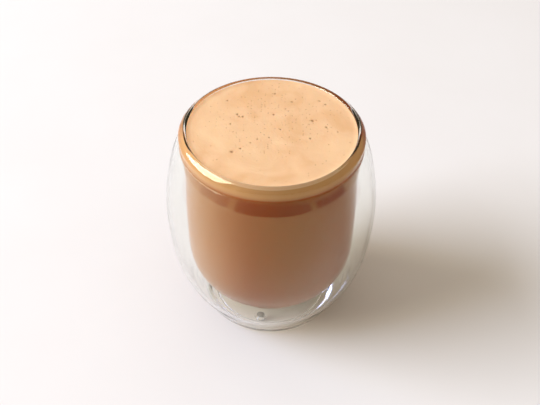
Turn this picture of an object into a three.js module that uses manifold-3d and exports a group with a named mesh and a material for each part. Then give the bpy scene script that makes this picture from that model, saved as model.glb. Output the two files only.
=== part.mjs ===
// A double-walled drinking glass of clear borosilicate, filled with a milky caramel coffee under a foam.
// Millimetres, +Z up. The origin is on the axis, at the level that the foot stands on.
import * as THREE from "three";
import { mergeVertices } from "three/addons/utils/BufferGeometryUtils.js";
import Module from "manifold-3d";

const wasm = await Module();
wasm.setup();

// Driving sizes of the whole glass
const RIM_HEIGHT = 99.5;
const BOWL_RADIUS = 36.6; // inside of the drinking bowl at the rim
const BOWL_WALL = 1.7;
const SHELL_WALL = 1.5;
const LIP_RADIUS = 40.2; // the fused rim is a little thicker than its two walls

// The rim, which slopes softly outwards, and the groove under it where the outer shell begins
const CROWN_DROP = 0.55; // from the rim's crown down to its inner edge
const CROWN_WIDTH = 1.3; // from the inner edge out to the crown
const LIP_FALL = 2.1; // from the crown down to where the rim's side is upright
const LIP_POWER = 1.3; // 2 would be an ellipse, and less makes a flatter bevel
const LIP_HEIGHT = 6.1;
const NECK_RADIUS = 39.8;
const NECK_Z = RIM_HEIGHT - LIP_HEIGHT;
const JOIN_DEPTH = 1.2; // solid glass below the neck, where bowl and shell are fused

// The outer shell as rings of [radius, height] from neck to foot, joined by one smooth curve
const SHELL_RINGS = [
  [NECK_RADIUS, NECK_Z],
  [41.8, 90.4],
  [43.3, 86.8],
  [44.8, 81],
  [46.4, 72],
  [47.4, 61],
  [46.9, 47],
  [44.8, 32],
  [39.8, 18],
  [34.1, 7.6],
  [31.2, 2.4],
  [28.8, 0],
];

// The foot: a narrow ring that stands on the table, round a shallow recess
const RECESS_RADIUS = 26.8;
const RECESS_SLOPE = 0.6;
const RECESS_HEIGHT = 1.4;
const FLOOR_THICKNESS = 2.8;
const FLOOR_Z = RECESS_HEIGHT + FLOOR_THICKNESS;
const FLOOR_FILLET = 2.4;

// The bowl: a nearly straight tube that closes in a round bottom, given by its outer face in the gap
const BOWL_SWELL = 0.008; // how much the radius grows for each millimetre below the rim
const BOWL_CURVE_Z = 40.6;
const BOWL_BOTTOM_Z = 6.6;
const BOWL_BOTTOM_WALL = 1.9;
const BOWL_POWER = 2.13;
const GAP_TOP_Z = NECK_Z - JOIN_DEPTH;

// The vent through the floor, with its raised glass collar and soft stopper
const VENT_X = -4.3;
const VENT_Y = -23.2;
const VENT_RADIUS = 1.8;
const COLLAR_RADIUS = 2.9;
const COLLAR_HEIGHT = 0.9;
const COLLAR_ROUNDING = 0.5;
const PLUG_HEAD_RADIUS = 2.2;
const PLUG_HEAD_BOTTOM = 0.35;
const PLUG_DOME = 0.6;

// The contents, kept clear of the glass and of each other
const CLEARANCE = 0.3;
const FOAM_LEVEL = RIM_HEIGHT - 0.9;
const FOAM_DEPTH = 2;
const FOAM_CROWN = 0.15;
const MENISCUS_WIDTH = 2.2;
const MENISCUS_RISE = 0.35;

// Facets
const SEGMENTS = 56;
const SMALL_SEGMENTS = 24;
const SHELL_STEPS = 2 * (SHELL_RINGS.length - 1);
const BOWL_STEPS = 10;
const CROWN_STEPS = 3;
const LIP_STEPS = 6;
const FILLET_STEPS = 3;
const CUT_MARGIN = 1; // how far a cutting solid runs past the face that it opens
const MERGE_DISTANCE = 1e-4;

const QUARTER_TURN = Math.PI / 2;

/** The numbers 0 to 1 in equal steps. */
const fractions = (steps) => Array.from({ length: steps + 1 }, (_, i) => i / steps);

const point = (radius, height) => new THREE.Vector2(radius, height);

/** Outer face of the shell, from the neck down to the foot, as one run of profile points. */
function shellProfile() {
  const rings = SHELL_RINGS.map(([radius, height]) => point(radius, height));
  return new THREE.SplineCurve(rings).getPoints(SHELL_STEPS);
}

/** A run of profile points moved inwards by the wall's thickness. */
function insetProfile(points, wall) {
  return points.map((here, i) => {
    const before = points[Math.max(i - 1, 0)];
    const after = points[Math.min(i + 1, points.length - 1)];
    const along = after.clone().sub(before).normalize();
    return point(here.x + along.y * wall, here.y - along.x * wall);
  });
}

/** Radius of the bowl's wall at a height in its straight stretch, on the outer face or inset from it. */
const bowlRadius = (height, inset) => BOWL_RADIUS + BOWL_WALL - inset + BOWL_SWELL * (RIM_HEIGHT - height);

/** The bowl from a height in its straight stretch down to its pole, inset from the outer face. */
function bowlProfile(topHeight, inset, bottomHeight) {
  const edge = bowlRadius(BOWL_CURVE_Z, inset);
  const bottom = fractions(BOWL_STEPS).map((u) => {
    const turn = u * QUARTER_TURN;
    return point(
      edge * Math.cos(turn) ** (2 / BOWL_POWER),
      BOWL_CURVE_Z - (BOWL_CURVE_Z - bottomHeight) * Math.sin(turn) ** (2 / BOWL_POWER),
    );
  });
  bottom[BOWL_STEPS].x = 0;
  return [point(bowlRadius(topHeight, inset), topHeight), ...bottom];
}

/** The rim, from its inner edge over the crown, down its outward bevel and on to the neck. */
function lipProfile() {
  const crownRadius = BOWL_RADIUS + CROWN_WIDTH;
  const sideZ = RIM_HEIGHT - LIP_FALL;
  const inner = fractions(CROWN_STEPS).map((u) => {
    const turn = u * QUARTER_TURN;
    return point(crownRadius - CROWN_WIDTH * Math.cos(turn), RIM_HEIGHT - CROWN_DROP * (1 - Math.sin(turn)));
  });
  const outer = fractions(LIP_STEPS).map((u) => {
    const turn = u * QUARTER_TURN;
    const across = Math.sin(turn) ** (2 / LIP_POWER);
    const upwards = Math.cos(turn) ** (2 / LIP_POWER);
    return point(crownRadius + (LIP_RADIUS - crownRadius) * across, sideZ + LIP_FALL * upwards);
  });
  const side = fractions(FILLET_STEPS).map((u) =>
    point(LIP_RADIUS - (LIP_RADIUS - NECK_RADIUS) * u * u, sideZ - (sideZ - NECK_Z) * u),
  );
  return [...inner.slice(0, -1), ...outer, ...side.slice(1, -1)];
}

/** A closed solid of revolution about +Z. Its profile starts and ends on the axis. */
function revolve(profile, segments = SEGMENTS) {
  return new THREE.LatheGeometry(profile, segments).rotateX(QUARTER_TURN);
}

/** A geometry as a solid for joining and cutting. */
function toSolid(geometry) {
  const bare = geometry.clone();
  bare.deleteAttribute("normal");
  bare.deleteAttribute("uv");
  const merged = mergeVertices(bare, MERGE_DISTANCE);
  return new wasm.Manifold(
    new wasm.Mesh({
      numProp: 3,
      vertProperties: merged.attributes.position.array,
      triVerts: new Uint32Array(merged.index.array),
    }),
  );
}

/** A cut solid as a geometry again. */
function toGeometry(solid) {
  const mesh = solid.getMesh();
  const geometry = new THREE.BufferGeometry();
  geometry.setAttribute("position", new THREE.BufferAttribute(mesh.vertProperties, 3));
  geometry.setIndex(new THREE.BufferAttribute(mesh.triVerts, 1));
  geometry.computeVertexNormals();
  return geometry;
}

/** The glass with no hollow between its walls: foot, shell, rim and the inside of the bowl. */
function glassEnvelope() {
  const bowlInside = bowlProfile(RIM_HEIGHT - CROWN_DROP, BOWL_WALL, BOWL_BOTTOM_Z + BOWL_BOTTOM_WALL);
  return revolve([
    point(0, RECESS_HEIGHT),
    point(RECESS_RADIUS - RECESS_SLOPE, RECESS_HEIGHT),
    point(RECESS_RADIUS, 0),
    ...shellProfile().reverse(),
    ...lipProfile().reverse().slice(0, -1),
    ...bowlInside,
  ]);
}

/** The air between bowl and shell. */
function gapSolid() {
  const inner = insetProfile(shellProfile(), SHELL_WALL);
  const wall = inner.filter((p) => p.y > FLOOR_Z + FLOOR_FILLET && p.y < GAP_TOP_Z - CLEARANCE);
  const [above, foot] = wall.slice(-2);
  const lean = (above.x - foot.x) / (above.y - foot.y);
  const corner = point(foot.x - lean * (foot.y - FLOOR_Z), FLOOR_Z);
  const floorEdge = point(corner.x - FLOOR_FILLET, FLOOR_Z);
  const fillet = new THREE.QuadraticBezierCurve(floorEdge, corner, foot).getPoints(FILLET_STEPS);
  return revolve([
    point(0, FLOOR_Z),
    ...fillet.slice(0, -1),
    ...wall.reverse(),
    ...bowlProfile(GAP_TOP_Z, 0, BOWL_BOTTOM_Z),
  ]);
}

/** The raised ring that the vent was finished with, as a low round mound on the floor. */
function collarSolid() {
  const top = FLOOR_Z + COLLAR_HEIGHT;
  return revolve(
    [
      point(0, FLOOR_Z - CUT_MARGIN),
      point(COLLAR_RADIUS, FLOOR_Z - CUT_MARGIN),
      point(COLLAR_RADIUS, top - COLLAR_ROUNDING),
      point(COLLAR_RADIUS - COLLAR_ROUNDING, top),
      point(0, top),
    ],
    SMALL_SEGMENTS,
  ).translate(VENT_X, VENT_Y, 0);
}

/** The vent's bore, from under the foot to above the collar. */
function ventBore() {
  const top = FLOOR_Z + COLLAR_HEIGHT + CUT_MARGIN;
  return revolve(
    [point(0, -CUT_MARGIN), point(VENT_RADIUS, -CUT_MARGIN), point(VENT_RADIUS, top), point(0, top)],
    SMALL_SEGMENTS,
  ).translate(VENT_X, VENT_Y, 0);
}

/** The double-walled glass, open to the air only through its vent. */
function glassGeometry() {
  const gap = toSolid(gapSolid()).subtract(toSolid(collarSolid()));
  return toGeometry(toSolid(glassEnvelope()).subtract(gap).subtract(toSolid(ventBore())));
}

/** The stopper: a flat head in the recess, a stem in the bore and a low dome above the collar. */
function plugGeometry() {
  const stem = VENT_RADIUS - CLEARANCE;
  const headTop = RECESS_HEIGHT - CLEARANCE;
  const domeZ = FLOOR_Z + COLLAR_HEIGHT;
  const dome = fractions(FILLET_STEPS).map((u) => {
    const turn = u * QUARTER_TURN;
    return point(stem * Math.cos(turn), domeZ + PLUG_DOME * Math.sin(turn));
  });
  dome[FILLET_STEPS].x = 0;
  return revolve(
    [
      point(0, PLUG_HEAD_BOTTOM),
      point(PLUG_HEAD_RADIUS, PLUG_HEAD_BOTTOM),
      point(PLUG_HEAD_RADIUS, headTop),
      point(stem, headTop),
      ...dome,
    ],
    SMALL_SEGMENTS,
  );
}

/** The coffee, up to the underside of the foam. */
function drinkGeometry() {
  const inset = BOWL_WALL + CLEARANCE;
  const top = FOAM_LEVEL - FOAM_DEPTH - CLEARANCE;
  const sides = bowlProfile(top, inset, BOWL_BOTTOM_Z + BOWL_BOTTOM_WALL + CLEARANCE);
  return revolve([...sides.reverse(), point(0, top)]);
}

/** The foam: a disc with a faint crown, and a rim that climbs the glass a little. */
function foamGeometry() {
  const radius = BOWL_RADIUS - CLEARANCE;
  const bottom = FOAM_LEVEL - FOAM_DEPTH;
  const lowRadius = bowlRadius(bottom, BOWL_WALL + CLEARANCE);
  const rim = fractions(FILLET_STEPS).map((u) =>
    point(radius - MENISCUS_WIDTH * u, FOAM_LEVEL + MENISCUS_RISE * (1 - u) ** 2),
  );
  return revolve([
    point(0, bottom),
    point(lowRadius, bottom),
    ...rim,
    point(radius / 2, FOAM_LEVEL + FOAM_CROWN / 2),
    point(0, FOAM_LEVEL + FOAM_CROWN),
  ]);
}

/** A named mesh with its own finish. */
function piece(name, geometry, finish) {
  const mesh = new THREE.Mesh(geometry, new THREE.MeshStandardMaterial({ metalness: 0, ...finish }));
  mesh.name = name;
  return mesh;
}

const hotCaramelDrink = new THREE.Group();

const CLEAR_GLASS = { color: 0xf2f5f2, roughness: 0.04, transparent: true, opacity: 0.3 };
const SILICONE = { color: 0x6e665f, roughness: 0.6 };
const MILKY_COFFEE = { color: 0x96683b, roughness: 0.25 };
const COFFEE_FOAM = { color: 0xeec493, roughness: 0.75 };

const vessel = new THREE.Group();
const ventPlug = piece("vent_plug", plugGeometry(), SILICONE);
ventPlug.position.set(VENT_X, VENT_Y, 0);
vessel.add(piece("glass", glassGeometry(), CLEAR_GLASS), ventPlug);

const contents = new THREE.Group();
contents.add(piece("drink", drinkGeometry(), MILKY_COFFEE), piece("foam", foamGeometry(), COFFEE_FOAM));

hotCaramelDrink.add(vessel, contents);

export default hotCaramelDrink;
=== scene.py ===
"""Looks of a hot caramel drink in its double-walled glass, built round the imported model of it.

Metres, +Z up, with the origin on the glass's axis at the level of the table. The sizes of the glass
are given in millimetres, as a glass maker gives them, and MM turns them into metres.
"""

import logging
import math
import random
from dataclasses import dataclass, field
from enum import Enum

import bmesh
import bpy
import numpy as np
from mathutils import Matrix, Vector, noise


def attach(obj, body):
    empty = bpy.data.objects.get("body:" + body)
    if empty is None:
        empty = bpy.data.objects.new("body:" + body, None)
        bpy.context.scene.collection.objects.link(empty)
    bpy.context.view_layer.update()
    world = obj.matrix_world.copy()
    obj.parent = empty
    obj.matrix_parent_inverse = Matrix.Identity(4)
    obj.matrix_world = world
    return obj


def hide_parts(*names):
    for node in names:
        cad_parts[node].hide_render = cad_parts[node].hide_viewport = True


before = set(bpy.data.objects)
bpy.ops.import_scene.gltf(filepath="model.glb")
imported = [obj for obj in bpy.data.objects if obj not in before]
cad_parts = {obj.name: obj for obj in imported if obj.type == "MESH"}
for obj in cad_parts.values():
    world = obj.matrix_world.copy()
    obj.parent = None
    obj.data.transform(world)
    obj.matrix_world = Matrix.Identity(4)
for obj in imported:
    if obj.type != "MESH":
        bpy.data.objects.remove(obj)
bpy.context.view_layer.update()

MM = 0.001
FULL_TURN = 2.0 * math.pi
QUARTER_TURN = 0.5 * math.pi
WELD_DISTANCE = 1e-7
CURVE_POINTS = 9  # points along a small curve of a profile, both ends included
BODY = "root"
DENT = "dent"

# Numbers of the colour sockets on Blender's Mix node, which repeats their names for each kind of data
MIX_FACTOR, MIX_FIRST, MIX_SECOND, MIX_RESULT = 0, 6, 7, 2

log = logging.getLogger("hot_caramel_drink")

Profile = list[Vector]
Colour = tuple[float, float, float, float]


class Slot(Enum):
    """The record's material slots, which are named as the CAD nodes are."""

    GLASS = "glass"
    VENT_PLUG = "vent_plug"
    DRINK = "drink"
    FOAM = "foam"


def linear(hex_colour: str) -> Colour:
    """Turns an sRGB hex colour into linear values with full alpha.

    Args:
        hex_colour: Six hex digits, such as "eec493".

    Returns:
        Red, green, blue and alpha.
    """
    shares = (int(hex_colour[i : i + 2], 16) / 255 for i in (0, 2, 4))
    red, green, blue = (s / 12.92 if s <= 0.04045 else ((s + 0.055) / 1.055) ** 2.4 for s in shares)
    return red, green, blue, 1.0


def per_metre(millimetres: float) -> float:
    """Scale of a pattern whose features lie this far apart."""
    return 1.0 / (millimetres * MM)


def add_node(tree: bpy.types.NodeTree, kind: str, inputs: dict | None = None, **settings) -> bpy.types.Node:
    """Adds a node with its settings, and sets or links its inputs.

    Args:
        tree: The node tree that gets it.
        kind: Blender's name for the node type.
        inputs: Socket name or number to a value, or to the output socket that feeds it.
        **settings: Properties of the node itself.

    Returns:
        The new node.
    """
    node = tree.nodes.new(kind)
    for name, value in settings.items():
        setattr(node, name, value)
    for name, value in (inputs or {}).items():
        if isinstance(value, bpy.types.NodeSocket):
            tree.links.new(value, node.inputs[name])
        else:
            node.inputs[name].default_value = value
    return node


def blend(
    tree: bpy.types.NodeTree,
    factor: bpy.types.NodeSocket,
    first: bpy.types.NodeSocket | Colour,
    second: bpy.types.NodeSocket | Colour,
) -> bpy.types.NodeSocket:
    """Mixes two colours.

    Args:
        tree: The node tree that gets the mix.
        factor: Share of the second colour.
        first: The colour at share 0.
        second: The colour at share 1.

    Returns:
        The socket with the mixed colour.
    """
    inputs = {MIX_FACTOR: factor, MIX_FIRST: first, MIX_SECOND: second}
    return add_node(tree, "ShaderNodeMix", inputs, data_type="RGBA").outputs[MIX_RESULT]


def blank_material(name: str) -> bpy.types.Material:
    """A material with an empty node tree."""
    material = bpy.data.materials.new(name)
    material.use_nodes = True
    material.node_tree.nodes.clear()
    return material


@dataclass(frozen=True)
class BlownGlass:
    """Borosilicate, blown and fire-polished: no grain, so the eye sees only what it mirrors and bends."""

    ior: float = 1.474
    tint: str = "fcfdfb"
    sheen: str = "fff6a8"  # what a face mirrors when seen straight on: a touch warm
    face_pass: str = "f3f0e9"  # light of lamps and matt things that crosses one face, a touch warm
    wave_spacing: float = 14.0  # millimetres between the slow waves of a blown wall
    wave_height: float = 0.2

    def material(self) -> bpy.types.Material:
        """Builds the glass, which lets light from lamps and from matt surfaces straight through.

        Returns:
            The material.
        """
        material = blank_material("blown_borosilicate")
        tree = material.node_tree
        place = add_node(tree, "ShaderNodeTexCoord").outputs["Object"]
        # The waves make the wall's reflections waver very slightly
        waves = add_node(
            tree,
            "ShaderNodeTexNoise",
            {"Vector": place, "Scale": per_metre(self.wave_spacing), "Detail": 1.0},
        )
        relief = add_node(
            tree,
            "ShaderNodeBump",
            {"Height": waves.outputs["Fac"], "Strength": 0.05, "Distance": self.wave_height * MM},
        )
        clear = add_node(
            tree,
            "ShaderNodeBsdfPrincipled",
            {
                "Base Color": linear(self.tint),
                "Roughness": 0.0,
                "IOR": self.ior,
                "Specular Tint": linear(self.sheen),
                "Transmission Weight": 1.0,
                "Normal": relief.outputs["Normal"],
            },
        )
        straight = add_node(tree, "ShaderNodeBsdfTransparent", {"Color": linear(self.face_pass)})
        path = add_node(tree, "ShaderNodeLightPath")
        lit = add_node(
            tree,
            "ShaderNodeMath",
            {0: path.outputs["Is Shadow Ray"], 1: path.outputs["Is Diffuse Ray"]},
            operation="MAXIMUM",
        )
        mixed = add_node(
            tree, "ShaderNodeMixShader", {0: lit.outputs[0], 1: clear.outputs[0], 2: straight.outputs[0]}
        )
        add_node(tree, "ShaderNodeOutputMaterial", {"Surface": mixed.outputs[0]})
        return material


@dataclass(frozen=True)
class MilkyCoffee:
    """Coffee with milk and caramel: opaque within a millimetre or two, and matt behind the glass it wets."""

    body: str = "a23f0d"
    pale: str = "ac4c16"
    foamy: str = "d09c66"
    # painted light: the paler colour of the coffee's side toward the window
    lit_side: str = "bd865f"
    lit_side_x: tuple[float, float] = (-5.0, -34.0)  # millimetres, from where to where it turns paler: painted light on the side toward the window
    cloud_spacing: float = 18.0  # millimetres across a cloud of milk
    foam_z: float = 96.6  # height in millimetres where the coffee meets the foam
    mixed_z: float = 94.6  # height from which foam is mixed in fully
    clear_z: float = 90.6  # height up to which there is none

    def material(self) -> bpy.types.Material:
        """Builds the coffee, a shade paler where milk clouds it and where it mixes into the foam, and with
        painted light that makes its left side, toward the window, paler.

        Returns:
            The material.
        """
        material = blank_material("milky_coffee")
        tree = material.node_tree
        place = add_node(tree, "ShaderNodeTexCoord").outputs["Object"]
        clouds = add_node(
            tree,
            "ShaderNodeTexNoise",
            {"Vector": place, "Scale": per_metre(self.cloud_spacing), "Detail": 3.0, "Distortion": 0.6},
        )
        cloudy = add_node(
            tree,
            "ShaderNodeMapRange",
            {"Value": clouds.outputs["Fac"], "From Min": 0.35, "From Max": 0.75, "To Max": 0.3},
        )
        clouded = blend(tree, cloudy.outputs[0], linear(self.body), linear(self.pale))
        axes = add_node(tree, "ShaderNodeSeparateXYZ", {"Vector": place})
        # Painted light: the left side, toward the window, turns paler, standing in for the window's light and
        # the bright floor mirrored there
        start, end = self.lit_side_x
        lit_share = add_node(
            tree,
            "ShaderNodeMapRange",
            {"Value": axes.outputs["X"], "From Min": start * MM, "From Max": end * MM},
            interpolation_type="SMOOTHSTEP",
        )
        lit_side = blend(tree, lit_share.outputs[0], clouded, linear(self.lit_side))
        rising = add_node(
            tree,
            "ShaderNodeMapRange",
            {
                "Value": axes.outputs["Z"],
                "From Min": self.clear_z * MM,
                "From Max": self.mixed_z * MM,
            },
            interpolation_type="SMOOTHSTEP",
        )
        colour = blend(tree, rising.outputs[0], lit_side, linear(self.foamy))
        surface = add_node(
            tree,
            "ShaderNodeBsdfPrincipled",
            {
                "Base Color": colour,
                "Roughness": 0.6,
                "Specular IOR Level": 0.04,
                "Subsurface Weight": 0.3,
                "Subsurface Radius": (1.0, 0.55, 0.3),
                "Subsurface Scale": 1.6 * MM,
            },
        )
        add_node(tree, "ShaderNodeOutputMaterial", {"Surface": surface.outputs[0]})
        return material


@dataclass(frozen=True)
class CoffeeFoam:
    """Steamed milk foam stained by coffee: a dense wet froth, almost matt, with burst bubbles as pinholes."""

    base: str = "e7bb8e"
    pale: str = "edc598"
    deep: str = "e1b181"
    pinhole: str = "8c5c30"
    cluster: tuple[float, float] = (2.0, 10.0)  # millimetres, the middle of the patch richest in pinholes
    cluster_reach: float = 30.0
    swirl_spacing: float = 16.0  # millimetres across the faint swirls left by pouring
    froth_spacing: float = 0.5  # about twice as coarse as real, so that the froth shows
    surface_z: float = 98.6
    pinhole_cell: float = 1.5  # millimetres, with at most one pinhole in each cell
    pinhole_bar: tuple[float, float] = (0.6, 0.95)  # the draw that a cell has to beat, here and far away
    pinhole_radius: tuple[float, float] = (0.1, 0.24)  # smallest and largest, in cells
    pinhole_edge: tuple[float, float] = (33.0, 34.5)  # millimetres from the axis, where pinholes run out

    def material(self) -> bpy.types.Material:
        """Builds the foam: slow swirls, a fine grain and scattered pinholes with depth.

        Returns:
            The material.
        """
        material = blank_material("coffee_foam")
        tree = material.node_tree
        place = add_node(tree, "ShaderNodeTexCoord").outputs["Object"]
        swirls = add_node(
            tree,
            "ShaderNodeTexNoise",
            {"Vector": place, "Scale": per_metre(self.swirl_spacing), "Detail": 3.0, "Distortion": 0.8},
        )
        tone = add_node(tree, "ShaderNodeValToRGB", {"Fac": swirls.outputs["Fac"]})
        tone.color_ramp.elements[0].position = 0.3
        tone.color_ramp.elements[0].color = linear(self.deep)
        tone.color_ramp.elements[1].position = 0.72
        tone.color_ramp.elements[1].color = linear(self.pale)
        middle = tone.color_ramp.elements.new(0.48)
        middle.color = linear(self.base)
        froth = add_node(
            tree, "ShaderNodeTexVoronoi", {"Vector": place, "Scale": per_metre(self.froth_spacing)}
        )
        pinholes = self.pinholes(tree, place)
        colour = blend(tree, pinholes.outputs[0], tone.outputs["Color"], linear(self.pinhole))
        bubbly = add_node(
            tree,
            "ShaderNodeBump",
            {"Height": froth.outputs["Distance"], "Strength": 0.25, "Distance": 0.05 * MM},
            invert=True,
        )
        pitted = add_node(
            tree,
            "ShaderNodeBump",
            {
                "Height": pinholes.outputs[0],
                "Strength": 0.8,
                "Distance": 0.25 * MM,
                "Normal": bubbly.outputs["Normal"],
            },
            invert=True,
        )
        surface = add_node(
            tree,
            "ShaderNodeBsdfPrincipled",
            {
                "Base Color": colour,
                "Roughness": 0.55,
                "Specular IOR Level": 0.3,
                "Subsurface Weight": 0.35,
                "Subsurface Radius": (1.0, 0.6, 0.35),
                "Subsurface Scale": 1.2 * MM,
                "Normal": pitted.outputs["Normal"],
            },
        )
        add_node(tree, "ShaderNodeOutputMaterial", {"Surface": surface.outputs[0]})
        return material

    def pinholes(self, tree: bpy.types.NodeTree, place: bpy.types.NodeSocket) -> bpy.types.Node:
        """Adds the small burst bubbles, up to 0.7 mm across.

        Args:
            tree: The foam's node tree.
            place: The socket with object coordinates.

        Returns:
            A node whose first output is 1 in a pinhole and 0 outside.
        """
        cells = add_node(
            tree,
            "ShaderNodeTexVoronoi",
            {"Vector": place, "Scale": per_metre(self.pinhole_cell)},
            voronoi_dimensions="2D",
        )
        draw = add_node(tree, "ShaderNodeSeparateColor", {"Color": cells.outputs["Color"]})
        centre = (self.cluster[0] * MM, self.cluster[1] * MM, self.surface_z * MM)
        away = add_node(tree, "ShaderNodeVectorMath", {0: place, 1: centre}, operation="DISTANCE")
        odds = add_node(
            tree,
            "ShaderNodeMapRange",
            {
                "Value": away.outputs["Value"],
                "From Max": self.cluster_reach * MM,
                "To Min": self.pinhole_bar[0],
                "To Max": self.pinhole_bar[1],
            },
        )
        level = add_node(tree, "ShaderNodeVectorMath", {0: place, 1: (1.0, 1.0, 0.0)}, operation="MULTIPLY")
        outwards = add_node(tree, "ShaderNodeVectorMath", {0: level.outputs[0]}, operation="LENGTH")
        # A pinhole at the foam's edge would be drawn down its side, so there is none
        edge = add_node(
            tree,
            "ShaderNodeMapRange",
            {
                "Value": outwards.outputs["Value"],
                "From Min": self.pinhole_edge[0] * MM,
                "From Max": self.pinhole_edge[1] * MM,
            },
        )
        bar = add_node(tree, "ShaderNodeMath", {0: odds.outputs[0], 1: edge.outputs[0]}, operation="MAXIMUM")
        chosen = add_node(
            tree, "ShaderNodeMath", {0: draw.outputs["Red"], 1: bar.outputs[0]}, operation="GREATER_THAN"
        )
        size = add_node(
            tree,
            "ShaderNodeMapRange",
            {
                "Value": draw.outputs["Green"],
                "To Min": self.pinhole_radius[0],
                "To Max": self.pinhole_radius[1],
            },
        )
        inside = add_node(
            tree,
            "ShaderNodeMapRange",
            {
                "Value": cells.outputs["Distance"],
                "From Min": size.outputs[0],
                "From Max": 0.03,
                "To Max": 0.75,
            },
        )
        small = add_node(
            tree, "ShaderNodeMath", {0: inside.outputs[0], 1: chosen.outputs[0]}, operation="MULTIPLY"
        )
        # The largest ones are real dents, whose depth the mesh carries as an attribute
        large = add_node(tree, "ShaderNodeAttribute", attribute_name=DENT)
        return add_node(
            tree, "ShaderNodeMath", {0: small.outputs[0], 1: large.outputs["Fac"]}, operation="MAXIMUM"
        )


@dataclass(frozen=True)
class MattSilicone:
    """Silicone rubber, moulded in a spark-finished tool: soft, matt and faintly dusty."""

    body: str = "6e665f"
    dust: str = "8b837a"
    grain_spacing: float = 0.25  # millimetres, as a spark-finished tool leaves it

    def material(self) -> bpy.types.Material:
        """Builds the rubber with a fine moulded grain.

        Returns:
            The material.
        """
        material = blank_material("moulded_silicone")
        tree = material.node_tree
        place = add_node(tree, "ShaderNodeTexCoord").outputs["Object"]
        grain = add_node(
            tree,
            "ShaderNodeTexNoise",
            {"Vector": place, "Scale": per_metre(self.grain_spacing), "Detail": 3.0},
        )
        colour = blend(tree, grain.outputs["Fac"], linear(self.body), linear(self.dust))
        relief = add_node(
            tree, "ShaderNodeBump", {"Height": grain.outputs["Fac"], "Strength": 0.3, "Distance": 0.03 * MM}
        )
        surface = add_node(
            tree,
            "ShaderNodeBsdfPrincipled",
            {
                "Base Color": colour,
                "Roughness": 0.62,
                "IOR": 1.41,
                "Normal": relief.outputs["Normal"],
            },
        )
        add_node(tree, "ShaderNodeOutputMaterial", {"Surface": surface.outputs[0]})
        return material


@dataclass(frozen=True)
class SeamlessPaper:
    """Coated backdrop paper: an even pale white with the faintest mottle."""

    base: str = "eae6e2"
    mottle: str = "e6e1dc"
    mottle_spacing: float = 60.0  # millimetres

    def material(self) -> bpy.types.Material:
        """Builds the paper.

        Returns:
            The material.
        """
        material = blank_material("backdrop_paper")
        tree = material.node_tree
        place = add_node(tree, "ShaderNodeTexCoord").outputs["Object"]
        clouds = add_node(
            tree,
            "ShaderNodeTexNoise",
            {"Vector": place, "Scale": per_metre(self.mottle_spacing), "Detail": 3.0},
        )
        colour = blend(tree, clouds.outputs["Fac"], linear(self.base), linear(self.mottle))
        surface = add_node(
            tree,
            "ShaderNodeBsdfPrincipled",
            {"Base Color": colour, "Roughness": 0.85, "Specular IOR Level": 0.15},
        )
        add_node(tree, "ShaderNodeOutputMaterial", {"Surface": surface.outputs[0]})
        return material


def smooth_curve(knots: Profile, steps: int) -> Profile:
    """Runs a curve of steadily changing bend through the knots, so that reflections on it have no kinks.

    Args:
        knots: Points that the curve passes through, in millimetres.
        steps: Number of points for each stretch between two knots.

    Returns:
        The points of the curve, both ends included.
    """
    points = np.array([tuple(knot) for knot in knots])
    lengths = np.linalg.norm(np.diff(points, axis=0), axis=1)
    system = np.eye(len(knots))
    pull = np.zeros_like(points)
    for i in range(1, len(knots) - 1):
        before, after = lengths[i - 1], lengths[i]
        system[i, i - 1 : i + 2] = before, 2 * (before + after), after
        pull[i] = 6 * ((points[i + 1] - points[i]) / after - (points[i] - points[i - 1]) / before)
    bend = np.linalg.solve(system, pull)
    curve = []
    for i, length in enumerate(lengths):
        for u in (step / steps for step in range(steps)):
            straight = (1 - u) * points[i] + u * points[i + 1]
            sway = (((1 - u) ** 3 - (1 - u)) * bend[i] + (u**3 - u) * bend[i + 1]) * length**2 / 6
            curve.append(Vector(straight + sway))
    return [*curve, knots[-1].copy()]


def inset(profile: Profile, wall: float) -> Profile:
    """Moves a profile that runs downwards inwards by a wall's thickness.

    Args:
        profile: Points of radius and height.
        wall: The wall's thickness in the same unit.

    Returns:
        As many points, on the wall's inner face.
    """
    moved = []
    for i, here in enumerate(profile):
        along = (profile[min(i + 1, len(profile) - 1)] - profile[max(i - 1, 0)]).normalized()
        moved.append(here + Vector((along.y, -along.x)) * wall)
    return moved


def soften(profile: Profile, corner: Vector, reach: float, steps: int = 7) -> Profile:
    """Rounds one corner of a profile, as a flame rounds an edge of glass.

    Args:
        profile: Points of radius and height.
        corner: The point of the profile that is rounded.
        reach: How far the rounding runs along both sides.
        steps: Number of stretches in the rounding.

    Returns:
        The profile with the corner's surroundings replaced by an arc.
    """
    at = min(range(len(profile)), key=lambda i: (profile[i] - corner).length)
    ends = []
    for way in (-1, 1):
        i, left = at, reach
        while 0 < i < len(profile) - 1 and (profile[i + way] - profile[i]).length < left:
            left -= (profile[i + way] - profile[i]).length
            i += way
        beyond = profile[i + way]
        ends.append((i + way, profile[i].lerp(beyond, left / (beyond - profile[i]).length)))
    (first, start), (last, end) = ends
    arc = []
    for u in (step / steps for step in range(steps + 1)):
        arc.append(start * (1 - u) ** 2 + corner * 2 * u * (1 - u) + end * u**2)
    return [*profile[: first + 1], *arc, *profile[last:]]


def lathe(profile: Profile, segments: int) -> bmesh.types.BMesh:
    """Spins a profile in millimetres round the vertical axis.

    Args:
        profile: Points of radius and height, with both ends on the axis.
        segments: Number of facets round the axis.

    Returns:
        A closed mesh in metres, with its faces pointing out.
    """
    mesh = bmesh.new()
    rail = [mesh.verts.new((point.x * MM, 0.0, point.y * MM)) for point in profile]
    edges = [mesh.edges.new(pair) for pair in zip(rail, rail[1:])]
    bmesh.ops.spin(
        mesh,
        geom=[*rail, *edges],
        cent=(0, 0, 0),
        axis=(0, 0, 1),
        angle=FULL_TURN,
        steps=segments,
        use_merge=True,
    )
    bmesh.ops.remove_doubles(mesh, verts=mesh.verts, dist=WELD_DISTANCE)
    bmesh.ops.recalc_face_normals(mesh, faces=mesh.faces)
    return mesh


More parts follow.
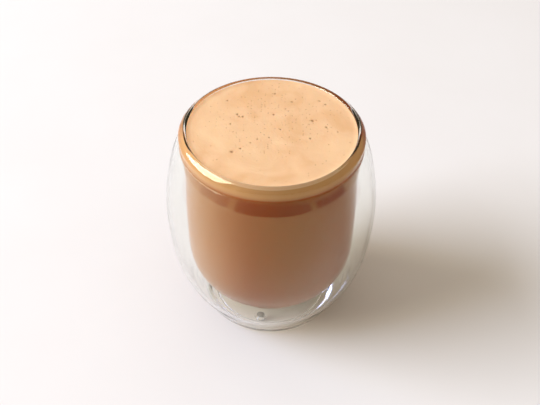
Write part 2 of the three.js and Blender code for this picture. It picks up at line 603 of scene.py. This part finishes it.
def to_object(mesh: bmesh.types.BMesh, name: str) -> bpy.types.Object:
    """Turns a finished mesh into an object in the scene.

    Args:
        mesh: The mesh, which is freed.
        name: The object's name.

    Returns:
        The object, at the origin and unturned.
    """
    data = bpy.data.meshes.new(name)
    mesh.to_mesh(data)
    mesh.free()
    made = bpy.data.objects.new(name, data)
    bpy.context.scene.collection.objects.link(made)
    return made


def cut(body: bpy.types.Object, *cutters: bpy.types.Object) -> None:
    """Takes other closed bodies out of one, and removes them.

    Args:
        body: The body that is cut.
        *cutters: What is taken out of it, in order.
    """
    for cutter in cutters:
        step = body.modifiers.new(cutter.name, "BOOLEAN")
        step.operation = "DIFFERENCE"
        step.solver = "EXACT"
        step.object = cutter
    shaped = bpy.data.meshes.new_from_object(body.evaluated_get(bpy.context.evaluated_depsgraph_get()))
    body.modifiers.clear()
    body.data = shaped
    for cutter in cutters:
        bpy.data.objects.remove(cutter)


def dress(
    piece: bpy.types.Object, slot: Slot, material: bpy.types.Material, crease: float = math.radians(50)
) -> bpy.types.Object:
    """Gives a piece its finish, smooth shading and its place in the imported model.

    Args:
        piece: The piece, which stands for the CAD node of the slot's name.
        slot: The record's slot for it.
        material: Its finish.
        crease: Edges sharper than this angle stay sharp.

    Returns:
        The piece.
    """
    piece.data.materials.clear()
    piece.data.materials.append(material)
    piece.data.shade_smooth()
    piece.data.set_sharp_from_angle(angle=crease)
    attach(piece, BODY)
    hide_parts(slot.value)
    log.info("%s: %d faces", piece.name, len(piece.data.polygons))
    return piece


@dataclass(frozen=True)
class Bowl:
    """The drinking bowl: a nearly straight tube that closes in a round bottom, in millimetres."""

    rim_height: float = 99.5
    radius: float = 36.6
    wall: float = 1.7
    swell: float = 0.008  # how much the radius grows for each millimetre below the rim
    curve_z: float = 40.6
    bottom_z: float = 6.6
    bottom_wall: float = 1.9
    power: float = 2.13
    steps: int = 44

    def radius_at(self, height: float, depth: float) -> float:
        """Radius in the straight stretch at a height, at a depth inside the outer face."""
        return self.radius + self.wall - depth + self.swell * (self.rim_height - height)

    def profile(self, top: float, depth: float, bottom: float) -> Profile:
        """The bowl from a height in its straight stretch down to its pole.

        Args:
            top: Height that the profile starts from.
            depth: Depth inside the wall's outer face.
            bottom: Height of the pole.

        Returns:
            Points of radius and height.
        """
        edge = self.radius_at(self.curve_z, depth)
        heights = np.linspace(top, self.curve_z, CURVE_POINTS)[:-1]
        straight = [Vector((self.radius_at(height, depth), height)) for height in heights]
        bottom_points = []
        for turn in (QUARTER_TURN * step / self.steps for step in range(self.steps)):
            radius = edge * math.cos(turn) ** (2 / self.power)
            height = self.curve_z - (self.curve_z - bottom) * math.sin(turn) ** (2 / self.power)
            bottom_points.append(Vector((radius, height)))
        return [*straight, *bottom_points, Vector((0.0, bottom))]

    def inside(self, top: float, bite: float = 0.0) -> Profile:
        """The bowl's inner face below a height, or a face that bites this far into its wall."""
        return self.profile(top, self.wall - bite, self.bottom_z + self.bottom_wall - bite)


@dataclass(frozen=True)
class Vent:
    """The vent through the floor that was finished with a low collar, in millimetres."""

    place: tuple[float, float] = (-4.3, -23.2)
    radius: float = 1.8
    collar_radius: float = 2.9
    collar_height: float = 0.9
    collar_rounding: float = 0.45
    collar_spread: float = 0.2  # how much wider the collar is just above the floor
    collar_taper: float = 0.15
    segments: int = 64

    def move(self, mesh: bmesh.types.BMesh) -> bmesh.types.BMesh:
        """Moves a mesh that was made on the axis to the vent."""
        offset = Vector((*self.place, 0.0)) * MM
        bmesh.ops.translate(mesh, verts=mesh.verts, vec=offset)
        return mesh


@dataclass
class DoubleWalledGlass:
    """The vessel: rim, bowl, shell, floor and foot, blown as one piece of glass."""

    bowl: Bowl = field(default_factory=Bowl)
    vent: Vent = field(default_factory=Vent)
    finish: BlownGlass = field(default_factory=BlownGlass)
    shell_wall: float = 1.5
    crown_drop: float = 0.55  # from the rim's crown down to its inner edge
    crown_width: float = 1.3  # from the inner edge out to the crown
    lip_radius: float = 40.2
    lip_fall: float = 2.1  # from the crown down to where the rim's side is upright
    lip_power: float = 1.3  # well below 2, so that the rim slopes almost flatly outwards
    lip_height: float = 6.1
    join_depth: float = 1.2  # from the neck down to the top of the gap
    shell_rings: tuple[tuple[float, float], ...] = (
        (39.8, 93.4),
        (41.8, 90.4),
        (43.3, 86.8),
        (44.8, 81),
        (46.4, 72),
        (47.4, 61),
        (46.9, 47),
        (44.8, 32),
        (39.8, 18),
        (34.1, 7.6),
        (31.2, 2.4),
        (28.8, 0),
    )
    recess_radius: float = 26.8
    recess_slope: float = 0.6
    recess_height: float = 1.4
    floor_thickness: float = 2.8
    floor_fillet: float = 2.4
    neck_rounding: float = 0.7
    foot_rounding: float = 0.5
    foot_inner_rounding: float = 0.4
    recess_rounding: float = 0.5
    join_rounding: float = 0.8
    join_clearance: float = 0.3  # the shell's inner face ends this far below the top of the gap
    margin: float = 1.0  # how far a cutting body runs past the face that it opens
    segments: int = 224
    bevel_points: int = 25
    shell_steps: int = 7

    @property
    def floor_z(self) -> float:
        """Height of the floor's upper face."""
        return self.recess_height + self.floor_thickness

    @property
    def neck_z(self) -> float:
        """Height of the groove under the rim."""
        return self.bowl.rim_height - self.lip_height

    def shell(self) -> Profile:
        """Outer face of the shell, from the neck down to the foot."""
        return smooth_curve([Vector(ring) for ring in self.shell_rings], self.shell_steps)

    def lip(self) -> Profile:
        """The rim, from its inner edge over the crown and down a broad soft bevel to the neck."""
        crown_radius = self.bowl.radius + self.crown_width
        inner = []
        for turn in np.linspace(0.0, QUARTER_TURN, CURVE_POINTS)[:-1]:
            radius = crown_radius - self.crown_width * math.cos(turn)
            inner.append(Vector((radius, self.bowl.rim_height - self.crown_drop * (1 - math.sin(turn)))))
        outer = []
        for turn in np.linspace(0.0, QUARTER_TURN, self.bevel_points):
            across = math.sin(turn) ** (2 / self.lip_power)
            upwards = math.cos(turn) ** (2 / self.lip_power)
            radius = crown_radius + (self.lip_radius - crown_radius) * across
            outer.append(Vector((radius, self.bowl.rim_height - self.lip_fall * (1 - upwards))))
        neck, start = Vector(self.shell_rings[0]), outer[-1]
        side = []
        for u in np.linspace(0.0, 1.0, CURVE_POINTS)[1:-1]:
            side.append(Vector((start.x - (start.x - neck.x) * u * u, start.y - (start.y - neck.y) * u)))
        return [*inner, *outer, *side]

    def envelope(self) -> Profile:
        """The glass with no hollow between its walls, from under the floor round to inside the bowl."""
        foot_inner = Vector((self.recess_radius, 0.0))
        foot_outer = Vector(self.shell_rings[-1])
        recess_corner = Vector((self.recess_radius - self.recess_slope, self.recess_height))
        neck = Vector(self.shell_rings[0])
        outline = [
            Vector((0.0, self.recess_height)),
            recess_corner,
            foot_inner,
            *reversed(self.shell()),
            *list(reversed(self.lip()))[:-1],
            *self.bowl.inside(self.bowl.rim_height - self.crown_drop),
        ]
        for corner, reach in (
            (neck, self.neck_rounding),
            (foot_outer, self.foot_rounding),
            (foot_inner, self.foot_inner_rounding),
            (recess_corner, self.recess_rounding),
        ):
            outline = soften(outline, corner, reach)
        return outline

    def gap(self) -> Profile:
        """The air between bowl and shell, rounded where the walls join above and at the floor's edge."""
        top = self.neck_z - self.join_depth
        inner = inset(self.shell(), self.shell_wall)
        wall = [p for p in inner if self.floor_z + self.floor_fillet < p.y < top - self.join_clearance]
        above, foot = wall[-2:]
        lean = (above.x - foot.x) / (above.y - foot.y)
        corner = Vector((foot.x - lean * (foot.y - self.floor_z), self.floor_z))
        closing = Vector((self.bowl.radius_at(top, 0.0), top))
        outline = [
            Vector((0.0, self.floor_z)),
            corner,
            *reversed(wall),
            closing,
            *self.bowl.profile(top, 0.0, self.bowl.bottom_z)[1:],
        ]
        outline = soften(outline, corner, self.floor_fillet)
        return soften(outline, closing, self.join_rounding)

    def collar(self) -> Profile:
        """The vent's collar as a low round mound that stands on the floor."""
        vent = self.vent
        top = self.floor_z + vent.collar_height
        outline = [
            Vector((0.0, self.floor_z - self.margin)),
            Vector((vent.collar_radius + vent.collar_spread + vent.collar_taper, self.floor_z - self.margin)),
            Vector((vent.collar_radius + vent.collar_spread, self.floor_z + vent.collar_taper)),
            Vector((vent.collar_radius, top - vent.collar_rounding)),
            Vector((vent.collar_radius - vent.collar_taper, top)),
            Vector((0.0, top)),
        ]
        for corner in (outline[4], outline[3]):
            outline = soften(outline, corner, vent.collar_rounding)
        return outline

    def bore(self) -> Profile:
        """The vent's bore, from below the foot to above the collar."""
        top = self.floor_z + self.vent.collar_height + self.margin
        radius = self.vent.radius
        return [Vector(p) for p in ((0, -self.margin), (radius, -self.margin), (radius, top), (0, top))]

    def build(self) -> bpy.types.Object:
        """Spins the glass and opens its hollow to the air through the vent.

        Returns:
            The finished piece.
        """
        glass = to_object(lathe(self.envelope(), self.segments), "double_walled_glass")
        air = to_object(lathe(self.gap(), self.segments), "air_gap")
        collar = to_object(self.vent.move(lathe(self.collar(), self.vent.segments)), "collar")
        bore = to_object(self.vent.move(lathe(self.bore(), self.vent.segments)), "bore")
        cut(air, collar)
        cut(glass, air, bore)
        return dress(glass, Slot.GLASS, self.finish.material())


@dataclass
class VentPlug:
    """The soft stopper: a flat head in the recess, a stem in the bore and a low dome above the collar."""

    glass: DoubleWalledGlass
    finish: MattSilicone = field(default_factory=MattSilicone)
    clearance: float = 0.3
    head_radius: float = 2.2
    head_bottom: float = 0.35
    dome: float = 0.6
    rounding: float = 0.2

    def build(self) -> bpy.types.Object:
        """Spins the stopper with softened edges.

        Returns:
            The finished piece.
        """
        vent = self.glass.vent
        stem = vent.radius - self.clearance
        head_top = self.glass.recess_height - self.clearance
        dome_z = self.glass.floor_z + vent.collar_height
        rise = []
        for turn in np.linspace(0.0, QUARTER_TURN, CURVE_POINTS)[:-1]:
            rise.append(Vector((stem * math.cos(turn), dome_z + self.dome * math.sin(turn))))
        low, high = (Vector((self.head_radius, z)) for z in (self.head_bottom, head_top))
        outline = [
            Vector((0.0, self.head_bottom)),
            low,
            high,
            Vector((stem, head_top)),
            *rise,
            Vector((0.0, dome_z + self.dome)),
        ]
        for corner in (low, high):
            outline = soften(outline, corner, self.rounding)
        plug = to_object(vent.move(lathe(outline, vent.segments)), "silicone_vent_plug")
        return dress(plug, Slot.VENT_PLUG, self.finish.material())


@dataclass
class Coffee:
    """The drink, which wets the bowl: its face bites a little into the wall, so that no air shows."""

    bowl: Bowl
    finish: MilkyCoffee = field(default_factory=MilkyCoffee)
    bite: float = 0.08
    segments: int = 160

    def build(self) -> bpy.types.Object:
        """Spins the drink up to the underside of the foam.

        Returns:
            The finished piece.
        """
        top = self.finish.foam_z
        outline = [*self.bowl.inside(top, self.bite), Vector((0.0, top))]
        outline = [outline[-1], *outline[:-1]]
        coffee = to_object(lathe(outline, self.segments), "caramel_coffee")
        return dress(coffee, Slot.DRINK, self.finish.material())


@dataclass
class FoamHead:
    """The foam: a disc with a faint crown, soft swirls and pits, that climbs the glass at its edge."""

    bowl: Bowl
    finish: CoffeeFoam = field(default_factory=CoffeeFoam)
    level: float = 98.6
    depth: float = 2.0
    crown: float = 0.15
    meniscus_width: float = 2.2
    meniscus_rise: float = 0.35
    bite: float = 0.08
    dip: float = 0.02  # how far the foam reaches down into the coffee, so that no air shows
    swirl_height: float = 0.16
    swirl_width: float = 13.0
    froth_height: float = 0.03
    froth_width: float = 0.8
    still_edge: float = 3.0  # width of the edge over which the relief dies away
    top_band: float = 0.2  # what lies less than this below the surface's level is the top
    dent_depth: float = 0.25
    dent_reach: float = 1.6  # in radii of the bubble
    dent_falloff: float = 2.2
    segments: int = 288
    rings: int = 120
    pit_count: int = 16
    pit_spread: tuple[float, float] = (14.0, 13.0)
    pit_shift: float = 4.0  # how much nearer to the front than the pinholes the pits lie
    pit_radius: tuple[float, float] = (0.3, 0.7)
    pit_margin: float = 5.0  # no pit lies closer to the glass
    # The largest burst bubbles: x, y and radius in millimetres
    large_pits: tuple[tuple[float, float, float], ...] = (
        (-16.6, -14.9, 0.9),
        (17.5, 7.0, 0.85),
        (-13.1, -12.7, 0.6),
        (23.4, 2.6, 0.65),
        (16.3, -5.2, 0.6),
        (20.9, 21.3, 0.6),
        (1.1, 26.4, 0.55),
    )
    seed: int = 11

    def outline(self) -> Profile:
        """Profile from the underside's middle, round the side and over the top to the middle again."""
        bottom = self.level - self.depth
        edge = self.bowl.radius + self.bite
        top = []
        for u in np.linspace(0.0, 1.0, self.rings + 1):
            radius = edge * (1 - u)
            climb = max(0.0, 1 - (edge - radius) / self.meniscus_width)
            height = self.level + self.crown * (1 - radius / edge) + self.meniscus_rise * climb**2
            top.append(Vector((radius, height)))
        low = Vector((self.bowl.radius_at(bottom, self.bowl.wall - self.bite), bottom - self.dip))
        return [Vector((0.0, bottom - self.dip)), low, *top]

    def pits(self) -> list[tuple[Vector, float]]:
        """Places and radii of the largest burst bubbles, in millimetres, drawn by a seeded rule."""
        draw = random.Random(self.seed)
        middle_x, middle_y = self.finish.cluster
        spread_x, spread_y = self.pit_spread
        made = [(Vector((x, y)), size) for x, y, size in self.large_pits]
        while len(made) < self.pit_count + len(self.large_pits):
            across = draw.gauss(middle_x, spread_x)
            place = Vector((across, draw.gauss(middle_y - self.pit_shift, spread_y)))
            size = draw.uniform(*self.pit_radius)
            if place.length < self.bowl.radius - self.pit_margin:
                made.append((place, size))
        return made

    def relief(self, place: Vector) -> float:
        """Height of the foam's swirls and froth above its smooth top at a place, all in millimetres."""
        inwards = min(1.0, (self.bowl.radius - place.length) / self.still_edge)
        if inwards <= 0:
            return 0.0
        slow = noise.fractal(Vector((place.x, place.y, 3.0)) / self.swirl_width, 1.0, 2.0, 3)
        fine = noise.noise(Vector((place.x, place.y, 0.0)) / self.froth_width)
        return (slow * self.swirl_height + fine * self.froth_height) * inwards

    def dent(self, place: Vector, pits: list[tuple[Vector, float]]) -> float:
        """Depth of a burst bubble at a place, as a share of how deep such a bubble gets."""
        depth = 0.0
        for centre, size in pits:
            away = (place - centre).length / size
            if away < self.dent_reach:
                depth = max(depth, math.exp(-self.dent_falloff * away * away))
        return depth

    def build(self) -> bpy.types.Object:
        """Spins the foam and raises its relief.

        Returns:
            The finished piece.
        """
        mesh = lathe(self.outline(), self.segments)
        dents = mesh.verts.layers.float.new(DENT)
        pits = self.pits()
        for vert in mesh.verts:
            if vert.co.z > (self.level - self.top_band) * MM:
                place = vert.co.xy / MM
                vert[dents] = self.dent(place, pits)
                vert.co.z += (self.relief(place) - self.dent_depth * vert[dents]) * MM
        foam = to_object(mesh, "coffee_foam")
        return dress(foam, Slot.FOAM, self.finish.material(), crease=math.radians(70))


@dataclass
class Studio:
    """A plain pale floor, one large soft window light from the left and dim fill from the room."""

    floor_size: float = 2.4
    window_azimuth: float = -86.0  # degrees from the camera's side, negative to the left
    window_elevation: float = 35.0
    window_distance: float = 3.0
    window_width: float = 2.0
    window_height: float = 1.7
    window_power: float = 149.0
    window_colour: str = "e7efff"
    # The window as smooth glass shows it, as a field of the room, with its place in degrees
    pane_through: float = 8.0  # strength of what comes through glass
    pane_mirrored: float = 30.0  # strength of what glass mirrors
    pane_colour: str = "c0ccff"
    pane_azimuth: float = -90.0
    pane_half_width: float = 28.0
    pane_elevation: float = 40.0
    pane_half_height: float = 20.0
    pane_edge: float = 5.0
    room_light: float = 0.92
    wall: str = "f0e4d0"
    ceiling: str = "c8beb0"
    half_shade: str = "6c6052"
    shade: str = "1c1613"
    backdrop: str = "f6f2f0"
    # Tones round the horizon: degrees from the camera's side, negative to the left, and the tone onwards
    room_tones: tuple[tuple[float, str], ...] = (
        (-180, "wall"),
        (-80, "half_shade"),
        (-46, "wall"),
        (-38, "shade"),
        (42, "wall"),
        (48, "shade"),
        (84, "wall"),
    )
    tone_edge: float = 3.0  # degrees over which one tone turns into the next
    ceiling_start: float = 0.5  # sine of the height at which walls begin to turn into ceiling
    ceiling_end: float = 0.62
    ceiling_tilt: float = 0.35  # the unlit wall reaches lower at the right than at the left

    def floor(self) -> bpy.types.Object:
        """A level floor under the glass."""
        mesh = bmesh.new()
        bmesh.ops.create_grid(mesh, x_segments=2, y_segments=2, size=self.floor_size / 2)
        made = to_object(mesh, "floor")
        made.data.materials.append(SeamlessPaper().material())
        return made

    def window(self) -> bpy.types.Object:
        """The large soft light, aimed at the glass, which shows it as the room's bright pane instead."""
        data = bpy.data.lights.new("window", "AREA")
        data.shape = "RECTANGLE"
        data.size = self.window_width
        data.size_y = self.window_height
        data.energy = self.window_power
        data.color = linear(self.window_colour)[:3]
        turn, rise = math.radians(self.window_azimuth), math.radians(self.window_elevation)
        way = Vector((math.sin(turn) * math.cos(rise), -math.cos(turn) * math.cos(rise), math.sin(rise)))
        made = bpy.data.objects.new("window", data)
        made.location = way * self.window_distance
        made.rotation_mode = "QUATERNION"
        made.rotation_quaternion = (-way).to_track_quat("-Z", "Y")
        made.visible_glossy = False
        made.visible_transmission = False
        bpy.context.scene.collection.objects.link(made)
        return made

    def world(self) -> None:
        """The room: pale walls behind and at the sides, unlit on the camera's side, and a dimmer ceiling."""
        world = bpy.data.worlds.new("room")
        world.use_nodes = True
        tree = world.node_tree
        tree.nodes.clear()
        way = add_node(tree, "ShaderNodeTexCoord").outputs["Generated"]
        axes = add_node(tree, "ShaderNodeSeparateXYZ", {"Vector": way})
        ahead = add_node(tree, "ShaderNodeMath", {0: axes.outputs["Y"], 1: -1.0}, operation="MULTIPLY")
        azimuth = add_node(
            tree, "ShaderNodeMath", {0: axes.outputs["X"], 1: ahead.outputs[0]}, operation="ARCTAN2"
        )
        share = add_node(
            tree,
            "ShaderNodeMapRange",
            {"Value": azimuth.outputs[0], "From Min": -math.pi, "From Max": math.pi},
        )
        walls = add_node(tree, "ShaderNodeValToRGB", {"Fac": share.outputs[0]})
        self.paint_walls(walls.color_ramp)
        height = add_node(
            tree,
            "ShaderNodeMath",
            {0: axes.outputs["X"], 1: self.ceiling_tilt, 2: axes.outputs["Z"]},
            operation="MULTIPLY_ADD",
        )
        overhead = add_node(
            tree,
            "ShaderNodeMapRange",
            {"Value": height.outputs[0], "From Min": self.ceiling_start, "From Max": self.ceiling_end},
            interpolation_type="SMOOTHSTEP",
        )
        tone = blend(tree, overhead.outputs[0], walls.outputs["Color"], linear(self.ceiling))
        fill = add_node(
            tree, "ShaderNodeBackground", {"Color": tone, "Strength": self.room_light}
        )
        behind = add_node(tree, "ShaderNodeBackground", {"Color": linear(self.backdrop)})
        path = add_node(tree, "ShaderNodeLightPath")
        pane = self.pane(tree, azimuth.outputs[0], axes.outputs["Z"], path)
        room = add_node(tree, "ShaderNodeAddShader", {0: fill.outputs[0], 1: pane.outputs[0]})
        mixed = add_node(
            tree,
            "ShaderNodeMixShader",
            {0: path.outputs["Is Camera Ray"], 1: room.outputs[0], 2: behind.outputs[0]},
        )
        add_node(tree, "ShaderNodeOutputWorld", {"Surface": mixed.outputs[0]})
        bpy.context.scene.world = world

    def pane(
        self,
        tree: bpy.types.NodeTree,
        azimuth: bpy.types.NodeSocket,
        height: bpy.types.NodeSocket,
        path: bpy.types.Node,
    ) -> bpy.types.Node:
        """Adds the window as a bright field of the room, which only smooth glass shows.

        Args:
            tree: The world's node tree.
            azimuth: The direction's angle from the camera's side, in radians.
            height: The sine of the direction's elevation.
            path: The light path node.

        Returns:
            The background node of the window.
        """
        low, high = (
            math.sin(math.radians(self.pane_elevation + way * self.pane_half_height)) for way in (-1, 1)
        )
        edge = math.radians(self.pane_edge)
        fields = (
            (azimuth, math.radians(self.pane_azimuth), math.radians(self.pane_half_width)),
            (height, (low + high) / 2, (high - low) / 2),
        )
        share = path.outputs["Is Singular Ray"]
        for value, middle, half in fields:
            off = add_node(tree, "ShaderNodeMath", {0: value, 1: middle}, operation="SUBTRACT")
            away = add_node(tree, "ShaderNodeMath", {0: off.outputs[0]}, operation="ABSOLUTE")
            inside = add_node(
                tree,
                "ShaderNodeMapRange",
                {"Value": away.outputs[0], "From Min": half + edge / 2, "From Max": half - edge / 2},
                interpolation_type="SMOOTHSTEP",
            )
            both = add_node(tree, "ShaderNodeMath", {0: share, 1: inside.outputs[0]}, operation="MULTIPLY")
            share = both.outputs[0]
        glow = add_node(
            tree,
            "ShaderNodeMapRange",
            {
                "Value": path.outputs["Is Reflection Ray"],
                "To Min": self.pane_through,
                "To Max": self.pane_mirrored,
            },
        )
        strength = add_node(tree, "ShaderNodeMath", {0: share, 1: glow.outputs[0]}, operation="MULTIPLY")
        return add_node(
            tree,
            "ShaderNodeBackground",
            {"Color": linear(self.pane_colour), "Strength": strength.outputs[0]},
        )

    def paint_walls(self, ramp: bpy.types.ColorRamp) -> None:
        """Lays the tones round the horizon into a ramp that runs once round it.

        Args:
            ramp: The colour ramp, which starts and ends behind the glass.
        """
        first, *others = self.room_tones
        ramp.elements[0].position = 0.0
        ramp.elements[0].color = linear(getattr(self, first[1]))
        before = first[1]
        for start, tone in others:
            for degrees, name in ((start - self.tone_edge / 2, before), (start + self.tone_edge / 2, tone)):
                ramp.elements.new(0.5 + degrees / 360).color = linear(getattr(self, name))
            before = tone
        last = ramp.elements[len(ramp.elements) - 1]
        last.position = 1.0
        last.color = linear(getattr(self, before))

    def build(self) -> None:
        """Sets up floor, window and room."""
        self.floor()
        self.window()
        self.world()
        bpy.context.scene.view_settings.view_transform = "Standard"
        log.info("studio is set")


@dataclass
class Viewpoint:
    """The camera, from the front and well above, as the glass was seen."""

    place: tuple[float, float, float] = (-0.506, -315.213, 347.254)  # millimetres
    pitch: float = 47.32
    roll: float = 0.773
    focal_length: float = 62.46
    sensor_width: float = 36.0

    def build(self) -> bpy.types.Object:
        """Makes the camera and gives it to the scene.

        Returns:
            The camera.
        """
        data = bpy.data.cameras.new("camera")
        data.lens = self.focal_length
        data.sensor_width = self.sensor_width
        data.clip_start = 0.01
        made = bpy.data.objects.new("camera", data)
        pitch = Matrix.Rotation(math.radians(self.pitch), 4, "X")
        roll = Matrix.Rotation(math.radians(self.roll), 4, "Z")
        made.matrix_world = Matrix.Translation(Vector(self.place) * MM) @ pitch @ roll
        bpy.context.scene.collection.objects.link(made)
        bpy.context.scene.camera = made
        return made


def main() -> None:
    """Builds the drink in order and sets the stage; each dressed piece logs its number of faces."""
    logging.basicConfig(level=logging.INFO, format="%(name)s: %(message)s")
    Viewpoint().build()
    glass = DoubleWalledGlass()
    glass.build()
    VentPlug(glass).build()
    Coffee(glass.bowl).build()
    FoamHead(glass.bowl).build()
    Studio().build()


if __name__ == "__main__":
    main()
